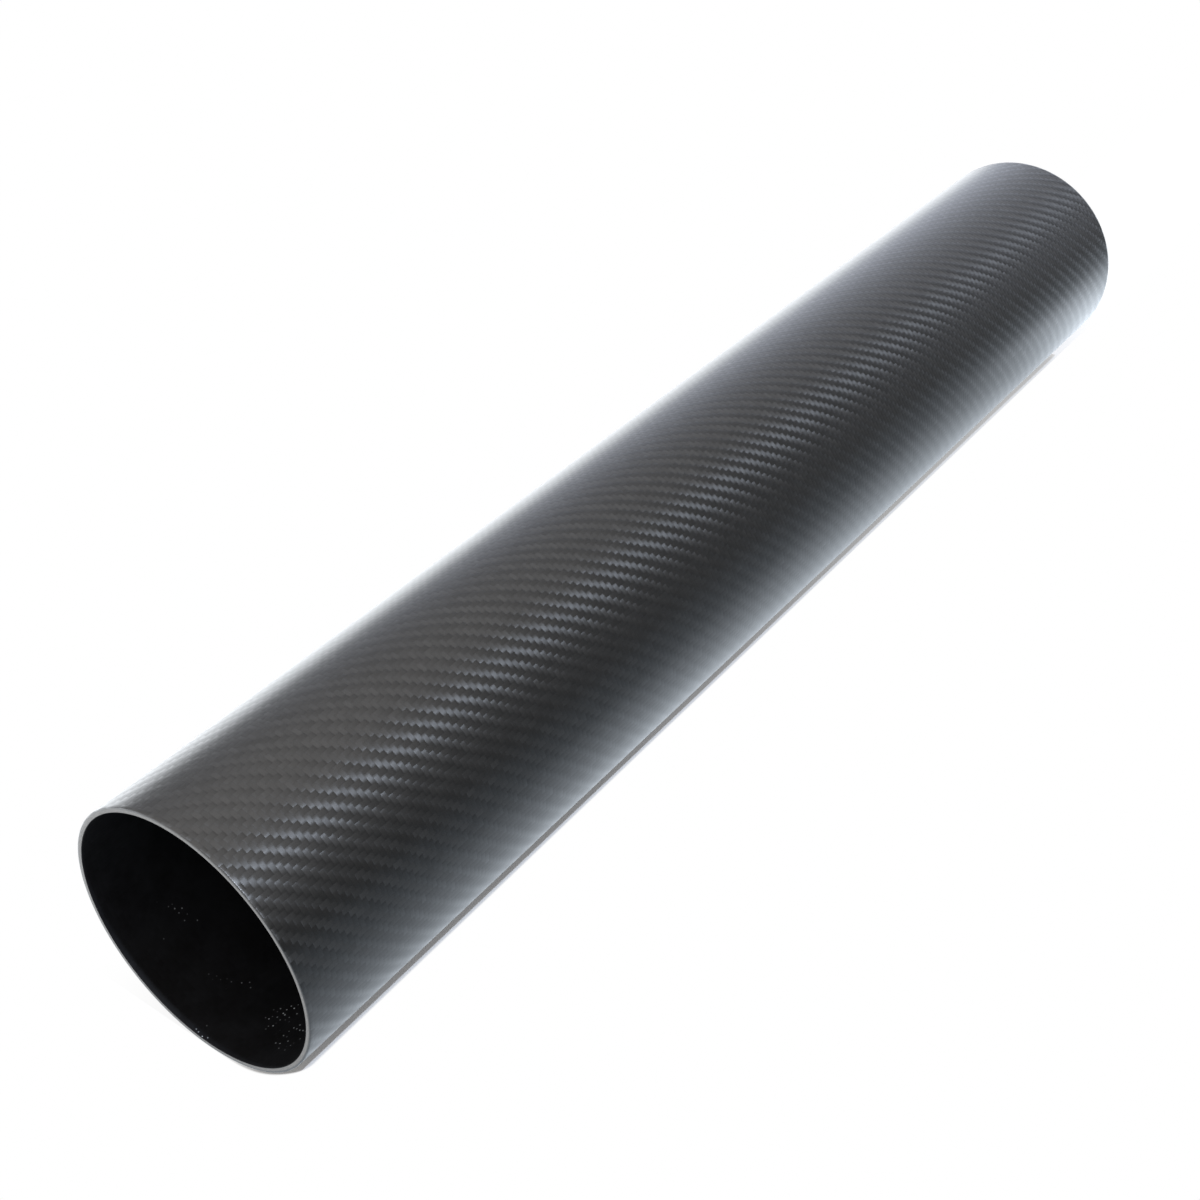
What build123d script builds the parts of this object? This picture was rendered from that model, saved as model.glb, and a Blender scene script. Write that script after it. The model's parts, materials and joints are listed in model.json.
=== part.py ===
"""Carbon fibre intake tube: one straight length of cured woven laminate with cut ends.

Millimetres, +Z up. The tube lies along X, as on a bench, with its lowest line at Z = 0
and the origin on that line, halfway along.
"""

import os

from build123d import *

# Driving dimensions
OUTER_DIAMETER = 102.0  # outside, the size that hose couplers are made for
WALL = 2.0  # thickness of the cured laminate
LENGTH = 600.0  # between the two cut faces
OUTER_EDGE_BREAK = 0.4  # sanded on the outside edge of each cut
INNER_EDGE_BREAK = 0.2  # deburred on the inside edge of each cut

# Worked out from the sizes above
OUTER_RADIUS = OUTER_DIAMETER / 2
BORE_RADIUS = OUTER_RADIUS - WALL
AXIS_HEIGHT = OUTER_RADIUS
HALF_LENGTH = LENGTH / 2

# The ring-shaped section stands square to X at mid-length
SECTION_PLANE = Plane(origin=(0, 0, AXIS_HEIGHT), x_dir=(0, 1, 0), z_dir=(1, 0, 0))

os.makedirs("parts", exist_ok=True)

with BuildPart() as tube:
    with BuildSketch(SECTION_PLANE):
        Circle(OUTER_RADIUS)
        Circle(BORE_RADIUS, mode=Mode.SUBTRACT)
    extrude(amount=HALF_LENGTH, both=True)

    # The saw leaves two sharp edges at each end: the outside one is the larger circle
    rims = tube.edges().filter_by(GeomType.CIRCLE).group_by(SortBy.RADIUS)
    inside_edges, outside_edges = rims[0], rims[-1]
    chamfer(outside_edges, length=OUTER_EDGE_BREAK)
    chamfer(inside_edges, length=INNER_EDGE_BREAK)

tube.part.label = "tube"
export_step(tube.part, "parts/tube.step")
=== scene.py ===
"""Looks of the carbon fibre intake tube: woven outside, moulded bore, sanded ends, floor, light, camera.

Metres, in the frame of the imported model: the tube lies along X with its lowest line at Z = 0.
"""

import json
import math

import bmesh
import bpy
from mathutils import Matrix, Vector


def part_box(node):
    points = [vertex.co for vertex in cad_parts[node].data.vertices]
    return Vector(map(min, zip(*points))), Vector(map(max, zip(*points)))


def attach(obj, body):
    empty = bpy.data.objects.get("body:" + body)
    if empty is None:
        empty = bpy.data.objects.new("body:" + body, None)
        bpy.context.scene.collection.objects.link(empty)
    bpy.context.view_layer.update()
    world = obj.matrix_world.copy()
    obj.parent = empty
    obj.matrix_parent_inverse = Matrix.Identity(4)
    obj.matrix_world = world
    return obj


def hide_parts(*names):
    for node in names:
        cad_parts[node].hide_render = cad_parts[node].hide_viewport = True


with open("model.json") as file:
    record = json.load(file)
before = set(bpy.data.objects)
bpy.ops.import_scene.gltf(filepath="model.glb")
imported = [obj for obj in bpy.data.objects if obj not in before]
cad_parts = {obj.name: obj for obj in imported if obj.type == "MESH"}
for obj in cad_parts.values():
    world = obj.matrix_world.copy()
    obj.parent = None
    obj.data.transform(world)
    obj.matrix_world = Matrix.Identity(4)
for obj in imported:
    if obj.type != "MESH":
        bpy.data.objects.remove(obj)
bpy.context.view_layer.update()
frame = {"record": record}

MM = 0.001

# Sizes of the tube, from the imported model
low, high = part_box("tube")
mounts = {mount["name"]: mount for mount in frame["record"]["mounts"]}
LENGTH = high[0] - low[0]
OUTER_RADIUS = (high[1] - low[1]) / 2
BORE_RADIUS = mounts["bore"]["dims"]["r_mm"] * MM
AXIS_HEIGHT = low[2] + OUTER_RADIUS
OUTER_EDGE_BREAK = (LENGTH - mounts["coupler_end_plus_x"]["dims"]["length_mm"] * MM) / 2
INNER_EDGE_BREAK = (LENGTH - mounts["bore"]["dims"]["length_mm"] * MM) / 2

# Fineness of the tube's mesh
STEPS_AROUND = 256
EDGE_BREAK_STEPS = 3
EDGE_MARGIN = 1.5 * MM  # plain strip beside each rim that keeps the long faces' shading straight
SAME_POINT = 0.001 * MM  # points this close together are merged into one
ON_RIM = 0.01 * MM  # points this close to a rim belong to it
SQUARE_CUT = 0.999  # a face that points along the axis by this much is part of a flat cut end

# The three finishes, in the order of the mesh's materials
OUTSIDE, BORE, CUT_END = range(3)

# Below, a change is four numbers: while the value that it follows goes from the first number to the
# second, the change goes from the third to the fourth

# The cloth: 2x2 twill, one tow is a flat bundle of 3000 fibres close to 2 mm wide
TOWS_AROUND = 160  # a multiple of 4, so that the cloth meets itself all round
TOWS_ALONG = 308
TOWS_PER_RADIAN = TOWS_AROUND / math.tau
TOWS_PER_METRE = TOWS_ALONG / LENGTH
TWILL_REPEAT = 4  # over two, under two
TWILL_MIDDLE = (TWILL_REPEAT - 1) / 2  # the middle of a repeat's steps, which are 0, 1, 2 and 3
TOW_WANDER = 0.2  # how far a tow strays from its place, in tow widths
TOW_WANDER_SIZE = 35.7 * MM  # about how long a stretch strays the same way
SIDE_SLOPE = 0.1  # how steep a tow gets at its sides
END_SLOPE = 0.15  # how steep it gets at the ends of a float
LENGTHWISE = (1.0, 0.0, 0.0)

# How much of the fibres shows, by the way from the middle of the float, by the float and by the line
SHOWN_AT_SIDE = (0.7, 1.0, 1.0, 0.7)
SHOWN_AT_END = (0.5, 1.0, 1.0, 0.7)
SHOWN_BY_FLOAT = (0.0, 1.0, 0.6, 1.0)
SHOWN_BY_STREAK = (0.25, 0.75, 0.85, 1.0)
ROUGHNESS_BY_FLOAT = (0.0, 1.0, 0.43, 0.49)
STREAKS = (5.0, 0.3, 90.0)  # lines on half a tow, changes in a tow width along it, shift between floats
RESIN_IOR = 1.56  # of clear epoxy

# The bore's skin
PRINT_SLOPE = 0.05  # how steep the cloth's print gets
CLOUD_SIZE = 11.1 * MM
CLOUDS = (0.35, 0.65, 0.0, 0.65)
CROSSING_SHADE = 0.35  # how much the black differs from crossing to crossing

# Painted glints on the bore, pale specks of colour that stand in for highlights: each patch's middle, its
# size and the share of crossings that have a speck there
GLINT_PATCHES = (
    ((-0.2785, -0.0115, 0.0034), 9 * MM, 0.8),
    ((-0.2850, -0.0225, 0.0075), 11 * MM, 0.5),
    ((-0.2768, 0.0074, 0.0026), 4 * MM, 0.4),
    ((-0.2803, 0.0159, 0.0047), 6 * MM, 0.35),
    ((-0.2770, 0.0362, 0.0180), 12 * MM, 0.25),
    ((-0.2985, 0.0062, 0.0024), 5 * MM, 0.5),
)
GLINT_PATCH_CORE = 0.3  # the share of a patch's size where the painted glints are at their most
GLINT_STRENGTH = (0.0, 0.6, 0.0, 1.0)
GLINT_PLACE = (0.0, 1.0, 0.25, 0.75)  # by chance, across a crossing
GLINT_EDGE = (0.08, 0.16, 1.0, 0.0)  # in tow widths from its middle

# The cut ends, where the depth is counted in plies from the bore
PLIES = 8
PLIES_PER_METRE = PLIES / (OUTER_RADIUS - BORE_RADIUS)
PLY_MIDDLE = 0.5
PLY_SHIFT = 7.3  # sets the tow ends of one ply apart from the next one's
GRAIN_SIZE = MM / 3  # of the sanding marks, drawn coarser than real ones so that they show
RESIN_LINES = (0.32, 0.5, 1.0, 0.6)
TOW_ENDS = (0.35, 0.65, 0.8, 1.0)
GRAIN = (0.3, 0.7, 0.9, 1.0)
# painted shade: the outer plies darker, standing in for the shade on the rounded outer edge
OUTER_PAINTED_SHADE = (4.3, 6.2, 1.0, 0.3)
OUTER_LEAN = (3.5, 6.5, 0.0, 0.6)
OUTER_ROUGHNESS = (3.5, 6.5, 0.6, 0.35)

# Camera, as the photograph was taken
CAMERA_AT = Vector((-0.52412, -0.32065, 0.46385))
CAMERA_AIM = Vector((-0.02531, 0.04060, 0.0))
CAMERA_VIEW_DEG = 38.106
CAMERA_SENSOR = 36.0  # wide, in millimetres
CAMERA_NEAREST = 10 * MM

# The floor to the camera: white painted over the tube's shadow where these are 1, lit paper with the tube's
# shadow where they are 0
FLOOR_REACH = 6.0
WHITE_BEHIND = (-0.024, 0.0, 0.03, 0.85)
WHITER_BEHIND = (0.01, 0.06, 0.0, 0.15)
WHITE_FAR_END = (-0.2, 0.28, 0.0, 0.36)
SHADOW_FRONT = 31.5 * MM  # how far before the tube's lowest line the shadow shows
SHADOW_END = 299.7 * MM  # how far from the tube's middle it shows, towards the near end; past this, white is painted over it
SHADOW_CORNER = 12000.0  # rounds its corner, with the fourth power of the way to the front
SHADOW_BLEND = 4 * MM  # how softly its front edge and its end meet
SHADOW_EDGE = (-0.6 * MM, 0.6 * MM, 0.0, 1.0)

# The floor in the tube's mirror image, a painted glow rather than lit paper: how bright it glows along the
# tube, behind it and before it
MIRRORED_NEAR_END = (-0.28, -0.05, 0.59, 0.91)
MIRRORED_FAR_END = (0.25, 0.384, 0.0, 1.53)
MIRRORED_BEHIND = (-0.03, 0.16, 0.0, 1.0)
MIRRORED_FRONT = (-0.231, 0.0, 0.0, 1.0)
MIRRORED_REAR_LEVEL = 1.9
MIRRORED_LEAST = 0.36

# The lamp and the soft light, which together light a plain white surface to about white
KEY_LEVEL = 1.6
KEY_WIDTH_DEG = 0.8
KEY_TOWARDS = Vector((-0.02, -0.475, 0.875))
CEILING_TOWARDS = (-0.5, 0.167, 1.0)
CEILING = (0.086, 0.9, 0.0, 0.85)
BACKDROP_TOWARDS = (0.932, 0.289, 0.218)
BACKDROP_FLATNESS = (1.0, 1.0, 2.1)  # makes it wider than it is high
BACKDROP = (0.643, 1.0, 0.0, 1.29)
ROOM_LEVEL = 0.18

WHITE = (1.0, 1.0, 1.0, 1.0)
PAPER_WHITE = (0.8, 0.8, 0.8, 1.0)

# A Mix node's vectors and colours share their names, so they are called by number
VECTOR_A, VECTOR_B, VECTOR_RESULT = 4, 5, 1
COLOUR_A, COLOUR_B, COLOUR_RESULT = 6, 7, 2


def linear(hex_colour):
    """An sRGB hex colour as linear red, green, blue and a full alpha."""
    channels = [int(hex_colour[i : i + 2], 16) / 255 for i in (1, 3, 5)]
    curve = [c / 12.92 if c <= 0.04045 else ((c + 0.055) / 1.055) ** 2.4 for c in channels]
    return (*curve, 1.0)


def add(tree, kind, inputs=(), **settings):
    """The outputs of a new node, with its settings made and its inputs set to values or linked.

    The inputs come in the node's own order, or as a dict by name or number.
    """
    node = tree.nodes.new("ShaderNode" + kind)
    for name, value in settings.items():
        setattr(node, name, value)
    pairs = inputs.items() if isinstance(inputs, dict) else enumerate(inputs)
    for name, value in pairs:
        if isinstance(value, bpy.types.NodeSocket):
            tree.links.new(value, node.inputs[name])
        else:
            node.inputs[name].default_value = value
    return node.outputs


def new_material(name):
    """A material with an empty node tree, and that tree."""
    material = bpy.data.materials.new(name)
    material.use_nodes = True
    material.node_tree.nodes.clear()
    return material, material.node_tree


def wall_section(bm):
    """The wall cut lengthwise, as four corners above the axis joined by four edges."""
    half = LENGTH / 2
    places = ((-half, BORE_RADIUS), (half, BORE_RADIUS), (half, OUTER_RADIUS), (-half, OUTER_RADIUS))
    corners = [bm.verts.new((x, 0, AXIS_HEIGHT + radius)) for x, radius in places]
    return corners + [bm.edges.new((a, b)) for a, b in zip(corners, corners[1:] + corners[:1])]


def radius_of(point):
    """How far a point is from the tube's axis."""
    return math.hypot(point.y, point.z - AXIS_HEIGHT)


def rim_edges(bm, radius):
    """The edges of both rims at that radius."""

    def on_rim(vert):
        return LENGTH / 2 - abs(vert.co.x) < ON_RIM and abs(radius_of(vert.co) - radius) < ON_RIM

    return [e for e in bm.edges if all(on_rim(v) for v in e.verts)]


def surface_of(face):
    """Which of the three finishes a face has; each skin of resin goes round its own sanded edge."""
    radius = radius_of(face.calc_center_median())
    if radius > OUTER_RADIUS - OUTER_EDGE_BREAK:
        return OUTSIDE
    if radius > BORE_RADIUS + INNER_EDGE_BREAK:
        return CUT_END
    return BORE


def tube_mesh():
    """The whole tube: its wall turned round the axis, with the four rims sanded round."""
    bm = bmesh.new()
    bmesh.ops.spin(
        bm,
        geom=wall_section(bm),
        cent=(0, 0, AXIS_HEIGHT),
        axis=LENGTHWISE,
        angle=math.tau,
        steps=STEPS_AROUND,
        use_merge=True,
    )
    bmesh.ops.remove_doubles(bm, verts=bm.verts, dist=SAME_POINT)
    bmesh.ops.recalc_face_normals(bm, faces=bm.faces)
    for radius, size in ((OUTER_RADIUS, OUTER_EDGE_BREAK), (BORE_RADIUS, INNER_EDGE_BREAK)):
        bmesh.ops.bevel(
            bm,
            geom=rim_edges(bm, radius),
            offset=size,
            offset_type="OFFSET",
            segments=EDGE_BREAK_STEPS,
            profile=0.5,
            affect="EDGES",
            material=-1,
        )
    for side in (-1, 1):
        bmesh.ops.bisect_plane(
            bm,
            geom=bm.verts[:] + bm.edges[:] + bm.faces[:],
            plane_co=(side * (LENGTH / 2 - EDGE_MARGIN), 0, 0),
            plane_no=LENGTHWISE,
        )
    mesh = bpy.data.meshes.new("tube_laminate")
    for face in bm.faces:
        face.smooth = abs(face.normal.x) < SQUARE_CUT
        face.material_index = surface_of(face)
    bm.to_mesh(mesh)
    bm.free()
    return mesh


def spot_on_tube(tree):
    """Where a place is on the tube, as sockets.

    x is its way along the tube, angle goes from the top towards the rear, from_axis is its way from the
    nearest point of the axis, and outward is the direction of that.
    """
    place = add(tree, "TexCoord")["Object"]
    xyz = add(tree, "SeparateXYZ", [place])
    up = add(tree, "Math", (xyz["Z"], AXIS_HEIGHT), operation="SUBTRACT")[0]
    from_axis = add(tree, "CombineXYZ", (0.0, xyz["Y"], up))[0]
    return dict(
        place=place,
        x=xyz["X"],
        angle=add(tree, "Math", (xyz["Y"], up), operation="ARCTAN2")[0],
        from_axis=from_axis,
        outward=add(tree, "VectorMath", [from_axis], operation="NORMALIZE")[0],
    )


def weave(tree):
    """The cloth's pattern over the tube, as sockets.

    along and across go from -1 to 1 over the float that shows, from end to end and from side to side.
    run is the way along its tow in tow widths.  fibre and beside are the directions along its fibres
    and across them.  own is a random colour for each float, crossing one for each crossing, and in_row
    and in_column are the place within the crossing.
    """
    spot = spot_on_tube(tree)
    around = add(tree, "Math", (spot["angle"], -TOWS_PER_RADIAN, TOWS_AROUND), operation="MULTIPLY_ADD")[0]
    lengthways = add(tree, "Math", (spot["x"], TOWS_PER_METRE, TOWS_ALONG), operation="MULTIPLY_ADD")[0]

    # tows stray a little, as in all real cloth
    wander = {"Vector": spot["place"], "Scale": 1 / TOW_WANDER_SIZE, "Detail": 1.0}
    stray = add(tree, "SeparateXYZ", [add(tree, "TexNoise", wander)["Color"]])
    around = add(tree, "Math", (stray["X"], TOW_WANDER, around), operation="MULTIPLY_ADD")[0]
    lengthways = add(tree, "Math", (stray["Y"], TOW_WANDER, lengthways), operation="MULTIPLY_ADD")[0]

    row = add(tree, "Math", [lengthways], operation="FLOOR")[0]
    column = add(tree, "Math", [around], operation="FLOOR")[0]
    in_row = add(tree, "Math", [lengthways], operation="FRACT")[0]
    in_column = add(tree, "Math", [around], operation="FRACT")[0]

    # steps 0 and 1 show the hoop tow, 2 and 3 the lengthwise one; 1 and 2 are the first half of a float
    diagonal = add(tree, "Math", (row, column), operation="SUBTRACT")[0]
    step = add(tree, "Math", (diagonal, TWILL_REPEAT), operation="FLOORED_MODULO")[0]
    hoop_shows = add(tree, "Math", (step, TWILL_MIDDLE), operation="LESS_THAN")[0]
    first_half = add(tree, "Math", (step, TWILL_MIDDLE, 1.0), operation="COMPARE")[0]

    # each of these is read one way for a lengthwise tow and the other way for a hoop tow
    from_start, from_side, cell_along, cell_across, run = (
        add(tree, "Mix", {"Factor": hoop_shows, "A": lengthwise_tow, "B": hoop_tow})[0]
        for lengthwise_tow, hoop_tow in (
            (in_row, in_column),
            (in_column, in_row),
            (row, column),
            (column, row),
            (lengthways, around),
        )
    )

    # a float's name ends in 0 or 1, and a crossing's in 0.5, so that their chances differ
    middle = add(tree, "Math", (cell_along, first_half), operation="ADD")[0]
    float_name = add(tree, "CombineXYZ", (cell_across, middle, hoop_shows))[0]
    crossing_name = add(tree, "CombineXYZ", (row, column, 0.5))[0]

    hoopwise = add(tree, "VectorMath", (LENGTHWISE, spot["outward"]), operation="CROSS_PRODUCT")[0]
    fibre = {"Factor": hoop_shows, VECTOR_A: LENGTHWISE, VECTOR_B: hoopwise}
    beside = {"Factor": hoop_shows, VECTOR_A: hoopwise, VECTOR_B: LENGTHWISE}
    return dict(
        along=add(tree, "Math", (from_start, first_half), operation="SUBTRACT")[0],
        across=add(tree, "Math", (from_side, 2.0, -1.0), operation="MULTIPLY_ADD")[0],
        run=run,
        fibre=add(tree, "Mix", fibre, data_type="VECTOR")[VECTOR_RESULT],
        beside=add(tree, "Mix", beside, data_type="VECTOR")[VECTOR_RESULT],
        own=add(tree, "TexWhiteNoise", {"Vector": float_name})["Color"],
        crossing=add(tree, "TexWhiteNoise", {"Vector": crossing_name})["Color"],
        in_row=in_row,
        in_column=in_column,
    )


def tow_normal(tree, cloth, side_slope, end_slope):
    """The surface direction of flat-backed tows, whose slope grows to these values at sides and ends."""
    bent = add(tree, "NewGeometry")["Normal"]
    for from_middle, direction, slope in (
        (cloth["along"], cloth["fibre"], end_slope),
        (cloth["across"], cloth["beside"], side_slope),
    ):
        distance = add(tree, "Math", [from_middle], operation="ABSOLUTE")[0]
        growing = add(tree, "Math", (from_middle, distance), operation="MULTIPLY")[0]
        steep = add(tree, "Math", (growing, slope), operation="MULTIPLY")[0]
        lean = add(tree, "VectorMath", {0: direction, "Scale": steep}, operation="SCALE")[0]
        bent = add(tree, "VectorMath", (bent, lean), operation="ADD")[0]
    return add(tree, "VectorMath", [bent], operation="NORMALIZE")[0]


def fibre_streaks(tree, cloth):
    """0 to 1 in fine lines along the tow, 0.2 mm apart because single fibres of 0.007 mm can't show."""
    own = add(tree, "SeparateXYZ", [cloth["own"]])
    on_tow = add(tree, "CombineXYZ", (cloth["across"], cloth["run"], own["Z"]))[0]
    lines = add(tree, "VectorMath", (on_tow, STREAKS), operation="MULTIPLY")[0]
    return add(tree, "TexNoise", {"Vector": lines, "Scale": 1.0, "Detail": 2.0})[0]


def all_changes(tree, changes):
    """The product of some changes, each given with the value that it follows and with its curve."""
    together = 1.0
    for value, change, curve in changes:
        share = add(tree, "MapRange", (value, *change), interpolation_type=curve)[0]
        together = add(tree, "Math", (together, share), operation="MULTIPLY")[0]
    return together


def woven_carbon():
    """3K carbon twill cured in epoxy and rubbed to a satin: tows that shine across their fibres."""
    material, tree = new_material("satin_carbon_twill")
    cloth = weave(tree)
    own = add(tree, "SeparateXYZ", [cloth["own"]])

    # less of the fibre shows at a float's sides and ends, where it dips under clear resin, and floats
    # and lines of fibres differ a little
    from_line = add(tree, "Math", [cloth["across"]], operation="ABSOLUTE")[0]
    from_middle = add(tree, "Math", [cloth["along"]], operation="ABSOLUTE")[0]
    shown = all_changes(
        tree,
        (
            (from_line, SHOWN_AT_SIDE, "SMOOTHSTEP"),
            (from_middle, SHOWN_AT_END, "SMOOTHSTEP"),
            (own["X"], SHOWN_BY_FLOAT, "LINEAR"),
            (fibre_streaks(tree, cloth), SHOWN_BY_STREAK, "LINEAR"),
        ),
    )
    greys = {"Factor": shown, COLOUR_A: linear("#343536"), COLOUR_B: linear("#525354")}
    shader = add(
        tree,
        "BsdfPrincipled",
        {
            "Base Color": add(tree, "Mix", greys, data_type="RGBA")[COLOUR_RESULT],
            "Metallic": 1.0,
            "Roughness": add(tree, "MapRange", (own["Y"], *ROUGHNESS_BY_FLOAT))[0],
            "Anisotropic": 0.87,
            "Tangent": cloth["beside"],
            "Normal": tow_normal(tree, cloth, SIDE_SLOPE, END_SLOPE),
            "Coat Weight": 1.0,
            "Coat Roughness": 0.28,
            "Coat IOR": RESIN_IOR,
        },
    )
    add(tree, "OutputMaterial", {"Surface": shader[0]})
    return material


def moulded_bore():
    """The bore as the mould left it: black resin with a faint print of the cloth, and pale specks painted
    in as glints.
    """
    material, tree = new_material("black_bore_resin")
    cloth = weave(tree)
    chance = add(tree, "SeparateXYZ", [cloth["crossing"]])
    place = add(tree, "TexCoord")["Object"]

    # uneven depth of the black: soft clouds, and a faint check of tows
    clouds = add(tree, "TexNoise", {"Vector": place, "Scale": 1 / CLOUD_SIZE, "Detail": 3.0})[0]
    clouds = add(tree, "MapRange", (clouds, *CLOUDS), interpolation_type="SMOOTHSTEP")[0]
    uneven = add(tree, "Math", (chance["Z"], CROSSING_SHADE, clouds), operation="MULTIPLY_ADD")[0]
    blacks = {"Factor": uneven, COLOUR_A: linear("#0e0e10"), COLOUR_B: linear("#18191c")}
    black = add(tree, "Mix", blacks, data_type="RGBA")[COLOUR_RESULT]

    # painted glints: pale specks of colour standing in for highlights, most and brightest in the middle of
    # a patch
    glint_likely = 0.0
    for middle, size, most in GLINT_PATCHES:
        away = add(tree, "VectorMath", (place, middle), operation="DISTANCE")["Value"]
        patch = (away, GLINT_PATCH_CORE * size, size, most, 0.0)
        rough = add(tree, "MapRange", patch, interpolation_type="SMOOTHSTEP")[0]
        glint_likely = add(tree, "Math", (glint_likely, rough), operation="MAXIMUM")[0]
    luck = add(tree, "Math", (glint_likely, chance["X"]), operation="SUBTRACT")[0]
    bright = add(tree, "MapRange", (luck, *GLINT_STRENGTH))[0]

    # each painted glint has a place of its own within its crossing
    offset = []
    for within, random in ((cloth["in_row"], chance["Y"]), (cloth["in_column"], chance["Z"])):
        centre = add(tree, "MapRange", (random, *GLINT_PLACE))[0]
        offset.append(add(tree, "Math", (within, centre), operation="SUBTRACT")[0])
    from_glint = add(tree, "CombineXYZ", offset)[0]
    away = add(tree, "VectorMath", [from_glint], operation="LENGTH")["Value"]
    inside = add(tree, "MapRange", (away, *GLINT_EDGE), interpolation_type="SMOOTHSTEP")[0]
    painted_glint = add(tree, "Math", (bright, inside), operation="MULTIPLY")[0]
    glint_colours = {"Factor": painted_glint, COLOUR_A: black, COLOUR_B: linear("#d5dde4")}
    shader = add(
        tree,
        "BsdfPrincipled",
        {
            "Base Color": add(tree, "Mix", glint_colours, data_type="RGBA")[COLOUR_RESULT],
            "Roughness": 0.6,
            "IOR": 1.5,
            "Specular IOR Level": 0.15,
            "Normal": tow_normal(tree, cloth, PRINT_SLOPE, PRINT_SLOPE),
        },
    )
    add(tree, "OutputMaterial", {"Surface": shader[0]})
    return material


def sanded_edge():
    """Laminate sawn and sanded: dull grey, with the plies as thin rings and painted shade on the outer
    plies.
    """
    material, tree = new_material("sanded_laminate_edge")
    spot = spot_on_tube(tree)
    radius = add(tree, "VectorMath", [spot["from_axis"]], operation="LENGTH")["Value"]
    from_bore = add(tree, "Math", (radius, BORE_RADIUS), operation="SUBTRACT")[0]
    depth = add(tree, "Math", (from_bore, PLIES_PER_METRE), operation="MULTIPLY")[0]

    # a darker line of resin between two plies
    ply = add(tree, "Math", [depth], operation="FLOOR")[0]
    in_ply = add(tree, "Math", [depth], operation="FRACT")[0]
    off_middle = add(tree, "Math", (in_ply, PLY_MIDDLE), operation="SUBTRACT")[0]
    from_middle = add(tree, "Math", [off_middle], operation="ABSOLUTE")[0]

    # tow ends that differ round each ply, and the marks of sanding
    on_ply = add(tree, "CombineXYZ", (spot["angle"], ply, 0.0))[0]
    tows = add(tree, "VectorMath", (on_ply, (TOWS_PER_RADIAN, PLY_SHIFT, 0.0)), operation="MULTIPLY")[0]
    tow_ends = add(tree, "TexNoise", {"Vector": tows, "Scale": 1.0, "Detail": 2.0})[0]
    grain = add(tree, "TexNoise", {"Vector": spot["place"], "Scale": 1 / GRAIN_SIZE, "Detail": 2.0})[0]
    tone_and_shade = all_changes(
        tree,
        (
            (from_middle, RESIN_LINES, "SMOOTHSTEP"),
            (tow_ends, TOW_ENDS, "SMOOTHSTEP"),
            (grain, GRAIN, "LINEAR"),
            # painted shade: the outer plies darker, for the rounded outer edge that turns from the light
            (depth, OUTER_PAINTED_SHADE, "SMOOTHSTEP"),
        ),
    )

    # the outer plies are sanded over, so they lean outwards and keep some of the skin's gloss
    flat = add(tree, "NewGeometry")["Normal"]
    leaning = add(tree, "MapRange", (depth, *OUTER_LEAN), interpolation_type="SMOOTHSTEP")[0]
    lean = add(tree, "VectorMath", {0: spot["outward"], "Scale": leaning}, operation="SCALE")[0]
    rounded = add(tree, "VectorMath", (flat, lean), operation="ADD")[0]
    greys = {"Factor": tone_and_shade, COLOUR_A: linear("#3c3c3d"), COLOUR_B: linear("#9b9c9b")}
    rough = (depth, *OUTER_ROUGHNESS)
    shader = add(
        tree,
        "BsdfPrincipled",
        {
            "Base Color": add(tree, "Mix", greys, data_type="RGBA")[COLOUR_RESULT],
            "Roughness": add(tree, "MapRange", rough, interpolation_type="SMOOTHSTEP")[0],
            "IOR": RESIN_IOR,
            "Normal": add(tree, "VectorMath", [rounded], operation="NORMALIZE")[0],
        },
    )
    add(tree, "OutputMaterial", {"Surface": shader[0]})
    return material


def tube():
    """The whole visible tube as one piece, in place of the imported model's own."""
    piece = bpy.data.objects.new("tube_laminate", tube_mesh())
    bpy.context.scene.collection.objects.link(piece)
    for material in (woven_carbon(), moulded_bore(), sanded_edge()):
        piece.data.materials.append(material)
    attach(piece, "root")
    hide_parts("tube")


def camera():
    """The camera, above the near end and before the tube's front."""
    lens = bpy.data.cameras.new("camera")
    lens.sensor_width = CAMERA_SENSOR
    lens.angle = math.radians(CAMERA_VIEW_DEG)
    lens.clip_start = CAMERA_NEAREST
    shot = bpy.data.objects.new("camera", lens)
    shot.location = CAMERA_AT
    shot.rotation_euler = (CAMERA_AIM - CAMERA_AT).to_track_quat("-Z", "Y").to_euler()
    bpy.context.scene.collection.objects.link(shot)
    bpy.context.scene.camera = shot


def white_over_shadow(tree, x, y):
    """1 on the floor past the shadow's front edge and past a line by the tube's near end, where white is
    painted over what is left of the shadow, and 0 elsewhere.
    """
    past_front = add(tree, "Math", (y, -1.0, -SHADOW_FRONT), operation="MULTIPLY_ADD")[0]
    front = add(tree, "Math", (y, 0.0), operation="MINIMUM")[0]
    squared = add(tree, "Math", (front, front), operation="MULTIPLY")[0]
    fourth_power = add(tree, "Math", (squared, squared), operation="MULTIPLY")[0]
    rounding = add(tree, "Math", (fourth_power, SHADOW_CORNER), operation="MULTIPLY")[0]
    towards_near_end = add(tree, "Math", (rounding, x), operation="SUBTRACT")[0]
    past_end = add(tree, "Math", (towards_near_end, SHADOW_END), operation="SUBTRACT")[0]
    past_edge = add(tree, "Math", (past_front, past_end, SHADOW_BLEND), operation="SMOOTH_MAX")[0]
    return add(tree, "MapRange", (past_edge, *SHADOW_EDGE), interpolation_type="SMOOTHSTEP")[0]


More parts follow.
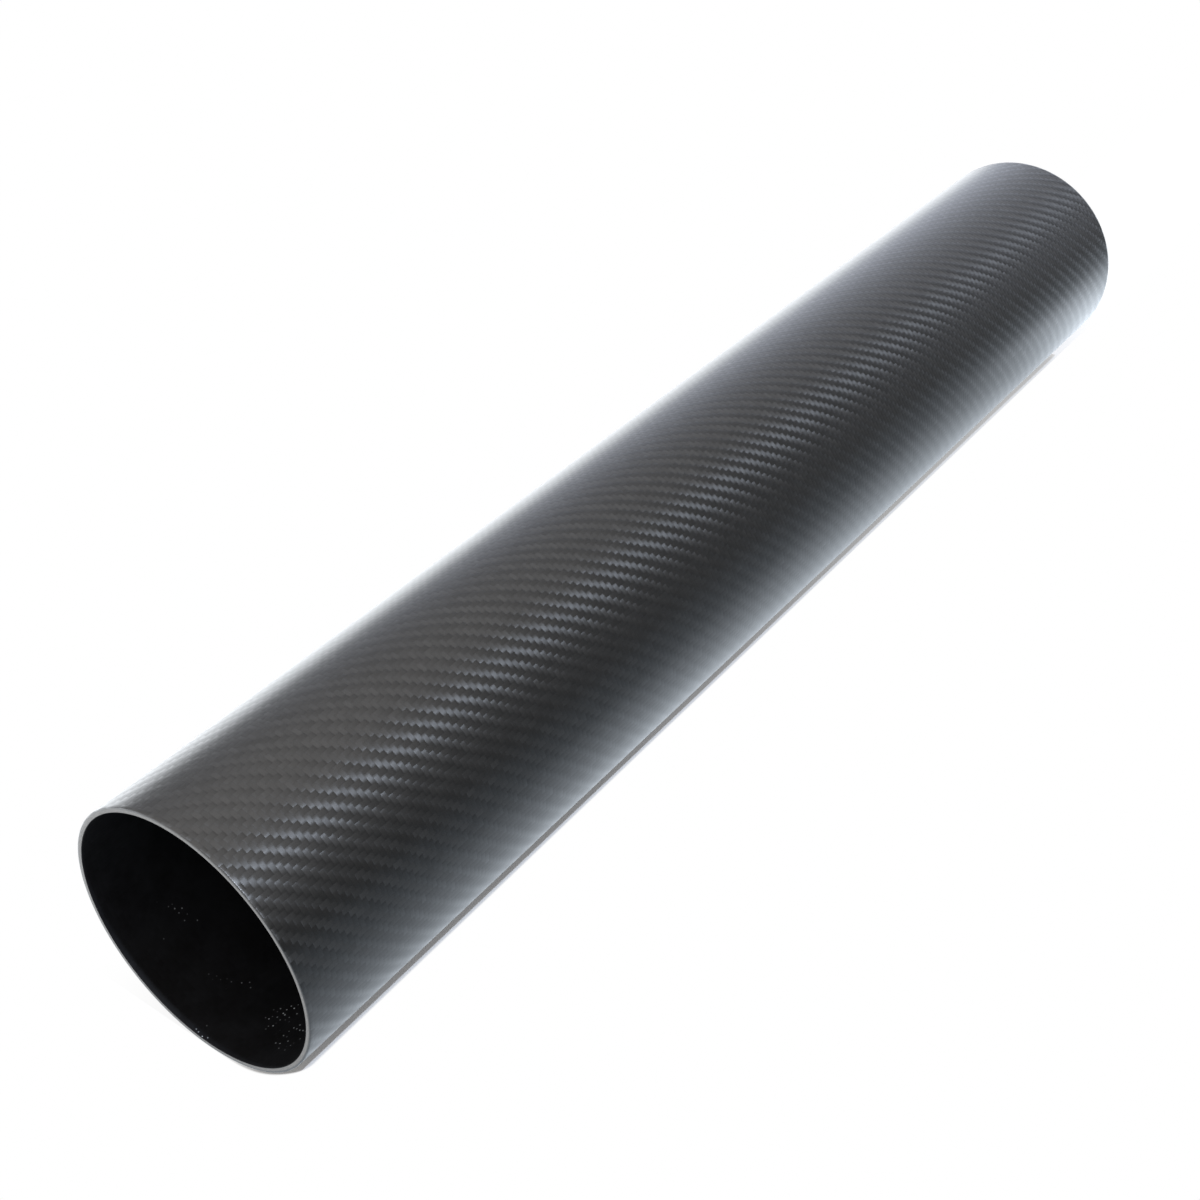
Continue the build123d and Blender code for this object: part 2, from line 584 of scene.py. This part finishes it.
def seen_floor(tree, x, y):
    """What the camera sees: lit paper in the narrow strip where the shadow shows, white elsewhere, painted
    over the shadow.
    """
    lit_paper = add(tree, "BsdfDiffuse", {"Color": WHITE})[0]
    white = add(tree, "Emission", {"Strength": 1.0})[0]
    # painted light: white over the tube's shadow behind it, and a lighter shadow towards its far end
    behind = add(tree, "MapRange", (y, *WHITE_BEHIND), interpolation_type="SMOOTHSTEP")[0]
    further = add(tree, "MapRange", (y, *WHITER_BEHIND), interpolation_type="SMOOTHSTEP")[0]
    far_end = add(tree, "MapRange", (x, *WHITE_FAR_END), interpolation_type="SMOOTHSTEP")[0]
    whiteness = add(tree, "Math", (behind, further), operation="ADD")[0]
    whiteness = add(tree, "Math", (whiteness, far_end), operation="MAXIMUM")[0]
    whiteness = add(tree, "Math", (whiteness, white_over_shadow(tree, x, y)), operation="MAXIMUM")[0]
    return add(tree, "MixShader", (whiteness, lit_paper, white))[0]


def mirrored_glow(tree, x, y):
    """What the tube mirrors: a painted glow, no lamp, brightest behind it and past its far end, and dim in
    front.
    """
    near_end = add(tree, "MapRange", (x, *MIRRORED_NEAR_END), interpolation_type="SMOOTHSTEP")[0]
    far_end = add(tree, "MapRange", (x, *MIRRORED_FAR_END), interpolation_type="SMOOTHSTEP")[0]
    behind = add(tree, "MapRange", (y, *MIRRORED_BEHIND), interpolation_type="SMOOTHSTEP")[0]
    front = add(tree, "MapRange", (y, *MIRRORED_FRONT), interpolation_type="SMOOTHSTEP")[0]
    along_it = add(tree, "Math", (near_end, far_end), operation="ADD")[0]
    paper = add(tree, "Mix", {"Factor": behind, "A": along_it, "B": MIRRORED_REAR_LEVEL})[0]
    level = add(tree, "Math", (front, paper, MIRRORED_LEAST), operation="MULTIPLY_ADD")[0]
    whites = {"Factor": behind, COLOUR_A: linear("#ebf5ff"), COLOUR_B: linear("#f7fbff")}
    cool = add(tree, "Mix", whites, data_type="RGBA")[COLOUR_RESULT]
    return add(tree, "Emission", {"Color": cool, "Strength": level})[0]


def floor():
    """White paper, with one look for the camera, a painted glow for the tube to mirror and one to throw
    light back.
    """
    mesh = bpy.data.meshes.new("floor")
    bm = bmesh.new()
    bmesh.ops.create_grid(bm, x_segments=1, y_segments=1, size=FLOOR_REACH)
    bm.to_mesh(mesh)
    bm.free()
    piece = bpy.data.objects.new("floor", mesh)
    bpy.context.scene.collection.objects.link(piece)
    material, tree = new_material("white_paper")
    place = add(tree, "SeparateXYZ", [add(tree, "TexCoord")["Object"]])
    x, y = place["X"], place["Y"]
    rays = add(tree, "LightPath")
    bounced = add(tree, "BsdfDiffuse", {"Color": PAPER_WHITE})[0]
    unseen = add(tree, "MixShader", (rays["Is Glossy Ray"], bounced, mirrored_glow(tree, x, y)))[0]
    both = add(tree, "MixShader", (rays["Is Camera Ray"], unseen, seen_floor(tree, x, y)))[0]
    add(tree, "OutputMaterial", {"Surface": both})
    mesh.materials.append(material)


def key_light():
    """A small lamp high on the camera's side, for the glints on the fibres and the tube's shadow."""
    lamp = bpy.data.lights.new("key", "SUN")
    lamp.energy = KEY_LEVEL
    lamp.color = linear("#e5efff")[:3]
    lamp.angle = math.radians(KEY_WIDTH_DEG)
    key = bpy.data.objects.new("key", lamp)
    key.rotation_euler = KEY_TOWARDS.to_track_quat("Z", "Y").to_euler()
    bpy.context.scene.collection.objects.link(key)


def surroundings():
    """A warm soft ceiling and a cool bright backdrop low behind the far end, and white to the camera."""
    world = bpy.data.worlds.new("studio")
    world.use_nodes = True
    bpy.context.scene.world = world
    tree = world.node_tree
    tree.nodes.clear()
    direction = add(tree, "TexCoord")["Generated"]
    height = add(tree, "VectorMath", (direction, CEILING_TOWARDS), operation="DOT_PRODUCT")["Value"]
    ceiling = add(tree, "MapRange", (height, *CEILING), interpolation_type="SMOOTHSTEP")[0]

    squeezed = add(tree, "VectorMath", (direction, BACKDROP_FLATNESS), operation="MULTIPLY")[0]
    flat = add(tree, "VectorMath", [squeezed], operation="NORMALIZE")[0]
    facing = add(tree, "VectorMath", (flat, BACKDROP_TOWARDS), operation="DOT_PRODUCT")["Value"]
    backdrop = add(tree, "MapRange", (facing, *BACKDROP), interpolation_type="SMOOTHSTEP")[0]

    warm = add(tree, "Background", {"Color": linear("#fff9f4"), "Strength": ceiling})[0]
    cool = add(tree, "Background", {"Color": linear("#e5edff"), "Strength": backdrop})[0]
    room = add(tree, "Background", {"Color": WHITE, "Strength": ROOM_LEVEL})[0]
    soft = add(tree, "AddShader", (warm, cool))[0]
    light = add(tree, "AddShader", (soft, room))[0]
    white = add(tree, "Background", {"Color": WHITE, "Strength": 1.0})[0]
    seen = add(tree, "LightPath")["Is Camera Ray"]
    both = add(tree, "MixShader", (seen, light, white))[0]
    add(tree, "OutputWorld", {"Surface": both})


tube()
floor()
key_light()
surroundings()
camera()
bpy.context.scene.view_settings.view_transform = "Standard"
